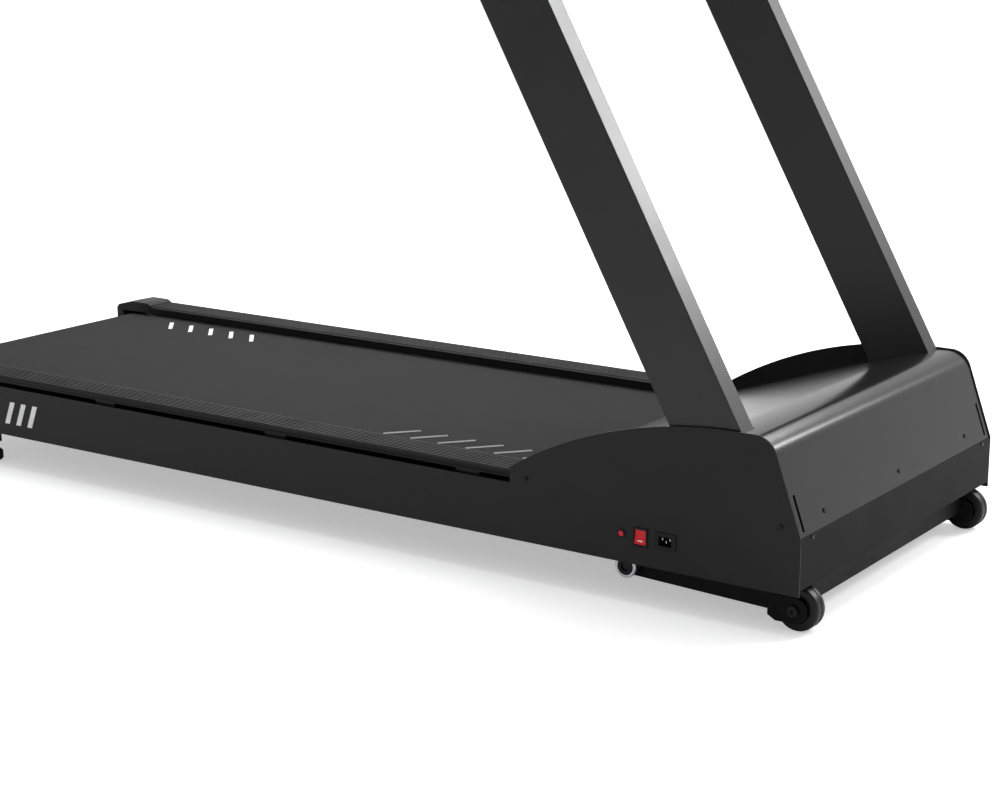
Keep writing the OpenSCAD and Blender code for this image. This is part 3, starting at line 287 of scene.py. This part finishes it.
nylon = surface("nylon", (0.006, 0.006, 0.0063), 0.4, grain=0.0006, bump=0.1, shine=0.3)
hub_grey = surface("hub_grey", (0.020, 0.020, 0.021), 0.45, grain=0.0006, bump=0.1)
tyre_r = (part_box("wheel_right")[1].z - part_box("wheel_right")[0].z) / 2
tyre_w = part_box("wheel_right")[1].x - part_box("wheel_right")[0].x
half = tyre_w / 2
bore_r = 0.0051
hub_r, hub_foot = bore_r + 0.006, bore_r + 0.007
web_r, rim_r, web_sunk = tyre_r * 0.60, tyre_r * 0.64, 0.006
shoulder = 0.005
groove_half, groove_deep = 0.004, 0.001
rib_count, rib_deep, rib_wide, rib_sunk = 6, 0.006, 0.0024, 0.0035
rib_in, rib_out = bore_r + 0.005, web_r
for side in ("right", "left"):
    low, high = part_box("wheel_" + side)
    outline = [(-half, bore_r), (-half, hub_r), (-half + web_sunk, hub_foot),
               (-half + web_sunk, web_r), (-half, rim_r), (-half, tyre_r - shoulder)]
    outline += [(-half + shoulder * (1 - math.cos(t)), tyre_r - shoulder * (1 - math.sin(t)))
                for t in [math.radians(15 * k) for k in range(1, 7)]]
    outline += [(-groove_half, tyre_r), (-groove_half + groove_deep, tyre_r - groove_deep),
                (0, tyre_r - groove_deep)]
    outline += [(-along, radius) for along, radius in reversed(outline[:-1])]
    outline.append(outline[0])
    wheel = turned("wheel_tyre_" + side, outline, (low + high) / 2, nylon, side + "_wheel")
    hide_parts("wheel_" + side)
    ribs = bmesh.new()
    for k in range(rib_count):
        for face in (-1, 1):
            made = bmesh.ops.create_cube(ribs, size=1)["verts"]
            bmesh.ops.scale(ribs, vec=(rib_deep, rib_wide, rib_out - rib_in), verts=made)
            bmesh.ops.translate(ribs, vec=(face * (half - rib_sunk), 0, (rib_out + rib_in) / 2), verts=made)
            spoke_turn = Matrix.Rotation(math.tau * k / rib_count, 3, "X")
            bmesh.ops.rotate(ribs, cent=(0, 0, 0), matrix=spoke_turn, verts=made)
    bmesh.ops.translate(ribs, vec=(low + high) / 2, verts=ribs.verts)
    finished(ribs, "wheel_ribs_" + side, hub_grey, side + "_wheel")

# ---------------------------------------------------------------- incline actuator
# A geared motor turns a screw inside a steel tube and pushes the lift frame down.
# The gearbox is painted cast aluminium, the rod is plated.
actuator_paint = surface("actuator_paint", (0.09, 0.095, 0.10), 0.45, bump=0.2)
plated = surface("plated", (0.55, 0.55, 0.57), 0.22, grain=0.0005, bump=0.04, metal=1.0)
paint(frame_coat, "actuator_bracket")
paint(actuator_paint, "actuator_body")
paint(plated, "actuator_rod", "actuator_pin")

# ---------------------------------------------------------------- rear levelling feet
# Each foot is a rubber pad moulded round the end of a black screw, with a hex nut above it.
# Turning the foot in the frame levels the rear of the machine.
pad_rubber = surface("pad_rubber", (0.010, 0.010, 0.010), 0.75, grain=0.0012, bump=0.35)
for side in ("right", "left"):
    softened("rear_foot_" + side, 0.0012, pad_rubber, side + "_foot")

# ---------------------------------------------------------------- deck, cushions, rollers and axles
# A laminated board rests on rubber cushions; the belt runs round two steel rollers.
# The rollers turn on ball bearings, and bolts draw the rear axle back.
board = surface("board", (0.017, 0.0155, 0.0145), 0.5, grain=0.0010, bump=0.1, vary=0.3, stretch=(1, 0.15, 1))
turned_steel = surface("turned_steel", (0.40, 0.40, 0.41), 0.32, grain=0.0006, bump=0.1, metal=1.0,
                       stretch=(6, 0.2, 0.2))
paint(board, "deck")
paint(pad_rubber, "deck_cushions")
paint(turned_steel, "front_roller", "rear_roller")
paint(zinc, "roller_bearings", "roller_axles", "tension_bolts")

# ---------------------------------------------------------------- running belt
# A two-ply belt with a matte embossed PVC top, printed with slanted pale strokes
# that show the runner how fast it moves.


def embossed(name, colour, rough, pitch, depth):
    """A fine regular emboss in two directions over a dull sheet, pitch metres from bump to bump."""
    made = surface(name, colour, rough, grain=0.0015, bump=0.2, vary=0.05, shine=0.12)
    tree = made.node_tree
    place = tree.nodes.new("ShaderNodeTexCoord")
    bands_at_one = 3.1
    rows = tree.nodes.new("ShaderNodeTexWave")
    rows.bands_direction = "X"
    rows.inputs["Scale"].default_value = 1 / pitch / bands_at_one
    columns = tree.nodes.new("ShaderNodeTexWave")
    columns.bands_direction = "Y"
    columns.inputs["Scale"].default_value = 1 / pitch / bands_at_one
    both = tree.nodes.new("ShaderNodeMath")
    both.operation = "MULTIPLY"
    relief = tree.nodes.new("ShaderNodeBump")
    relief.inputs["Strength"].default_value = 0.25
    relief.inputs["Distance"].default_value = depth
    for wave, slot_number in ((rows, 0), (columns, 1)):
        tree.links.new(place.outputs["Object"], wave.inputs["Vector"])
        tree.links.new(wave.outputs["Fac"], both.inputs[slot_number])
    grain_relief = next(n for n in tree.nodes if n.type == "BUMP" and n != relief)
    tree.links.new(both.outputs["Value"], relief.inputs["Height"])
    tree.links.new(grain_relief.outputs["Normal"], relief.inputs["Normal"])
    tree.links.new(relief.outputs["Normal"], tree.nodes["Principled BSDF"].inputs["Normal"])
    return made


belt_top_pvc = embossed("belt_top_pvc", (0.0155, 0.0155, 0.0158), 0.75, pitch=0.0022, depth=0.0003)
softened("running_belt", 0.0006, belt_top_pvc, "frame")
belt_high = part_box("running_belt")[1].z
stroke_w = 0.009
stroke_t = 0.0004


def slanted_strokes(name, material, side, first, pitch, count):
    """Strokes from outer to inner, each leaning forward, printed on the belt."""
    outer, inner, lean = 0.264, 0.210, 0.045
    form = bmesh.new()
    for k in range(count):
        made = bmesh.ops.create_cube(form, size=1)["verts"]
        length = math.hypot(outer - inner, lean)
        bmesh.ops.scale(form, vec=(length, stroke_w, stroke_t), verts=made)
        turn = math.atan2(lean, inner - outer) * side
        bmesh.ops.rotate(form, cent=(0, 0, 0), matrix=Matrix.Rotation(turn, 3, "Z"), verts=made)
        bmesh.ops.translate(form, vec=(side * (outer + inner) / 2, first + k * pitch + lean / 2,
                                       belt_high + stroke_t / 2), verts=made)
    finished(form, name, material, "frame")


print_grey = surface("print_grey", (0.22, 0.22, 0.23), 0.6, grain=0.001, bump=0.2)
# This white serves the printed strokes and panel bars, and the rocker's mark, which is partly a painted
# highlight.
print_and_highlight_white = surface("print_and_highlight_white", (0.85, 0.85, 0.85), 0.6, grain=0.001, bump=0.2)
slanted_strokes("belt_strokes_right", print_grey, 1, first=front_face - 0.912, pitch=0.0618, count=6)
slanted_strokes("belt_strokes_left", print_and_highlight_white, -1, first=front_face - 1.935, pitch=0.0607, count=5)

# ---------------------------------------------------------------- side panels
# Flat steel sheet, satin powder coated, screwed to the frame on each side.
# A group of pale slanted bars is painted near the rear.
panel_coat = surface("panel_coat", (0.0145, 0.0145, 0.0149), 0.45, grain=0.0007, bump=0.06,
                     shine=0.2)
for side in ("right", "left"):
    softened("side_panel_" + side, 0.0008, panel_coat, "frame")
bar_count, first_bar, bar_pitch, bar_middle = 3, -0.700, 0.032, 0.118
bar_high, bar_wide, bar_lean, bar_thick = 0.046, 0.013, 0.018, 0.0004
for side, sign in (("right", 1), ("left", -1)):
    face_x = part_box("side_panel_" + side)[1 if sign > 0 else 0].x
    bars = bmesh.new()
    for k in range(bar_count):
        made = bmesh.ops.create_cube(bars, size=1)["verts"]
        bmesh.ops.scale(bars, vec=(bar_thick, bar_wide, bar_high), verts=made)
        for vert in made:
            vert.co.y += vert.co.z / bar_high * bar_lean
        bmesh.ops.translate(bars, vec=(face_x + sign * bar_thick / 2, first_bar + k * bar_pitch, bar_middle),
                            verts=made)
    finished(bars, "panel_bars_" + side, print_and_highlight_white, "frame")

# ---------------------------------------------------------------- motor hood and front cover
# The hood is one bent steel sheet with a smooth satin coat that mirrors bright light at a low angle.
# The moulded cover below it closes the front.
hood_coat = surface("hood_coat", (0.0095, 0.0095, 0.0099), 0.2, grain=0.0006, bump=0.015, vary=0.05,
                    shine=0.38)
cover_plastic = surface("cover_plastic", (0.0075, 0.0075, 0.0078), 0.6, grain=0.0008, bump=0.2, shine=0.08)
softened("hood", 0.0008, hood_coat, "frame")
softened("front_cover", 0.0008, cover_plastic, "frame")

# ---------------------------------------------------------------- foot rails and end caps
# Ribbed extrusions cover the rails beside the belt, and moulded caps close their rear ends.
# Both are matte black plastic.
rail_plastic = surface("rail_plastic", (0.0065, 0.0065, 0.0068), 0.55, grain=0.0009, bump=0.25, shine=0.2)
softened("foot_rails", 0.0004, rail_plastic, "frame", steps=1)
softened("end_caps", 0.004, rail_plastic, "frame", steps=3)

# ---------------------------------------------------------------- drive under the hood
# A direct current motor with a cast flywheel drives the front roller by a ribbed belt.
# Its controller board stands on an extruded heatsink.
motor_paint = surface("motor_paint", (0.030, 0.031, 0.034), 0.35, bump=0.1, coat=0.3)
machined_iron = surface("machined_iron", (0.22, 0.22, 0.23), 0.42, grain=0.0008, bump=0.15, metal=1.0)
heatsink_metal = surface("heatsink_metal", (0.55, 0.56, 0.57), 0.35, grain=0.0006, bump=0.1, metal=1.0,
                         stretch=(1, 0.1, 1))
circuit_green = surface("circuit_green", (0.03, 0.12, 0.06), 0.35, bump=0.1, vary=0.3)
drive_rubber = surface("drive_rubber", (0.012, 0.012, 0.012), 0.65, bump=0.25)
paint(motor_paint, "motor_casing")
paint(plated, "motor_shaft")
paint(machined_iron, "flywheel", "roller_pulley")
paint(drive_rubber, "drive_belt")
paint(heatsink_metal, "controller_heatsink")
paint(circuit_green, "controller_board")

# ---------------------------------------------------------------- mains inlet, switch and breaker
# Glossy black mouldings set into the right panel, with a red rocker and a red button.
# Three plated blade pins stand in the inlet's recess.
socket_black = surface("socket_black", (0.006, 0.006, 0.006), 0.35, grain=0.0004, bump=0.05, coat=0.1,
                       shine=0.15)
signal_red = surface("signal_red", (0.72, 0.010, 0.014), 0.32, grain=0.0004, bump=0.04, vary=0.06, coat=0.15,
                     shine=0.25)
inlet = softened("power_inlet", 0.0003, socket_black, "frame")
inlet.data.materials.append(plated)
inlet_low, inlet_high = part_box("power_inlet")
inlet_middle = (inlet_low + inlet_high) / 2
recess_depth = 0.0165
bezel_depth = 0.004
blade_places = ((-0.007, 0.003), (0.007, 0.003), (0, -0.0015))
blade_half = (0.0012, 0.0022)
for face in inlet.data.polygons:
    place = face.center - inlet_middle
    in_blade = any(abs(place.y - along) < blade_half[0] and abs(place.z - up) < blade_half[1]
                   for along, up in blade_places)
    if in_blade and inlet_high.x - recess_depth < face.center.x < inlet_high.x - bezel_depth:
        face.material_index = 1
softened("switch_housing", 0.0006, socket_black, "frame")
softened("switch_rocker", 0.0006, signal_red, "rocker")
softened("breaker_button", 0.0006, signal_red, "breaker")
paint(socket_black, "breaker_body")
# The pale bar on the rocker's lower half is partly its printed symbol and partly a painted highlight for the
# light that upturned half catches.
rocker_low, rocker_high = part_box("switch_rocker")
rocker_mid = (rocker_low + rocker_high) / 2
mark_wide, mark_high, mark_thick = 0.0095, 0.0048, 0.0006
mark_below, mark_sunk, mark_round = 0.0075, 0.0011, 0.00025
mark_tilt = math.radians(9.7)
symbol_and_highlight = bmesh.new()
bar = bmesh.ops.create_cube(symbol_and_highlight, size=1)["verts"]
bmesh.ops.scale(symbol_and_highlight, vec=(mark_thick, mark_wide, mark_high), verts=bar)
bmesh.ops.bevel(symbol_and_highlight, geom=symbol_and_highlight.edges[:], offset=mark_round, affect="EDGES", segments=2, profile=0.5,
                material=-1)
bmesh.ops.rotate(symbol_and_highlight, cent=(0, 0, 0), matrix=Matrix.Rotation(mark_tilt, 3, "Y"), verts=symbol_and_highlight.verts)
bmesh.ops.translate(symbol_and_highlight, vec=(rocker_high.x - mark_sunk, rocker_mid.y, rocker_mid.z - mark_below),
                    verts=symbol_and_highlight.verts)
finished(symbol_and_highlight, "rocker_mark_and_highlight", print_and_highlight_white, "rocker")

# ---------------------------------------------------------------- uprights
# Two flat steel tubes with rounded edges lean back from bases on the rails to the console.
# Their satin coat is a little glossier than the panels'.
upright_coat = surface("upright_coat", (0.013, 0.013, 0.0136), 0.3, grain=0.0007, bump=0.04, shine=0.42)
softened("uprights", 0.004, upright_coat, "frame", steps=3)
paint(frame_coat, "upright_bases")

# ---------------------------------------------------------------- console
# A moulded casing hangs between the uprights, with a dark screen, soft keys and a stop button.
# The keys stand a little proud of the face plate, each in its own opening.
console_plastic = surface("console_plastic", (0.016, 0.016, 0.017), 0.48, grain=0.0008, bump=0.25)
key_plastic = surface("key_plastic", (0.075, 0.078, 0.083), 0.5, grain=0.0006, bump=0.15)
key_green = surface("key_green", (0.03, 0.20, 0.07), 0.42, grain=0.0006, bump=0.1)
screen_glass = surface("screen_glass", (0.004, 0.007, 0.012), 0.08, grain=0.0005, bump=0.0, coat=1.0)
softened("console_casing", 0.004, console_plastic, "frame", steps=3)
softened("console_face", 0.0012, console_plastic, "frame")
paint(screen_glass, "display_screen")
for key in ("speed_up", "speed_down", "incline_up", "incline_down"):
    softened(key + "_key", 0.0015, key_plastic, key)
softened("start_key", 0.0015, key_green, "start")
softened("stop_button", 0.0012, signal_red, "stop")

# ---------------------------------------------------------------- handrails and grips
# Round steel tubes run back from the uprights, joined by a bar from side to side.
# Foam rubber sleeves with shallow rings cover their ends.
paint(upright_coat, "handrails", "front_grip_bar")
grip_foam = surface("grip_foam", (0.011, 0.011, 0.011), 0.8, grain=0.0015, bump=0.5)
grip_low, grip_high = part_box("grips")
grip_r = (grip_high.z - grip_low.z) / 2
rail_r = (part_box("handrails")[1].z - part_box("handrails")[0].z) / 2
grip_len = grip_high.y - grip_low.y
grip_round, plain_end = 0.002, 0.02
ring_count, ring_deep = 14, 0.001
ring_down, ring_up, ring_end = 0.0012, 0.003, 0.0042
half = grip_len / 2
for side, sign in (("right", 1), ("left", -1)):
    centre = Vector((sign * (grip_high.x - grip_r), (grip_low.y + grip_high.y) / 2,
                     (grip_low.z + grip_high.z) / 2))
    sleeve = [(-half, rail_r), (-half, grip_r - grip_round), (-half + grip_round, grip_r)]
    for k in range(ring_count):
        start = -half + plain_end + k * (grip_len - 2 * plain_end) / ring_count
        sleeve += [(start, grip_r), (start + ring_down, grip_r - ring_deep),
                   (start + ring_up, grip_r - ring_deep), (start + ring_end, grip_r)]
    sleeve += [(half - grip_round, grip_r), (half, grip_r - grip_round), (half, rail_r), (-half, rail_r)]
    along_rail = Matrix.Rotation(math.radians(90), 4, "Z")
    grip = turned("grip_" + side, sleeve, centre, grip_foam, "frame", along_rail, steps=48)
    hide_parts("grips")

# ---------------------------------------------------------------- cover screws
# Small blackened screws with flat round heads hold the panels, hood and cover.
# They are driven in from outside.
paint(black_oxide, "cover_screws")
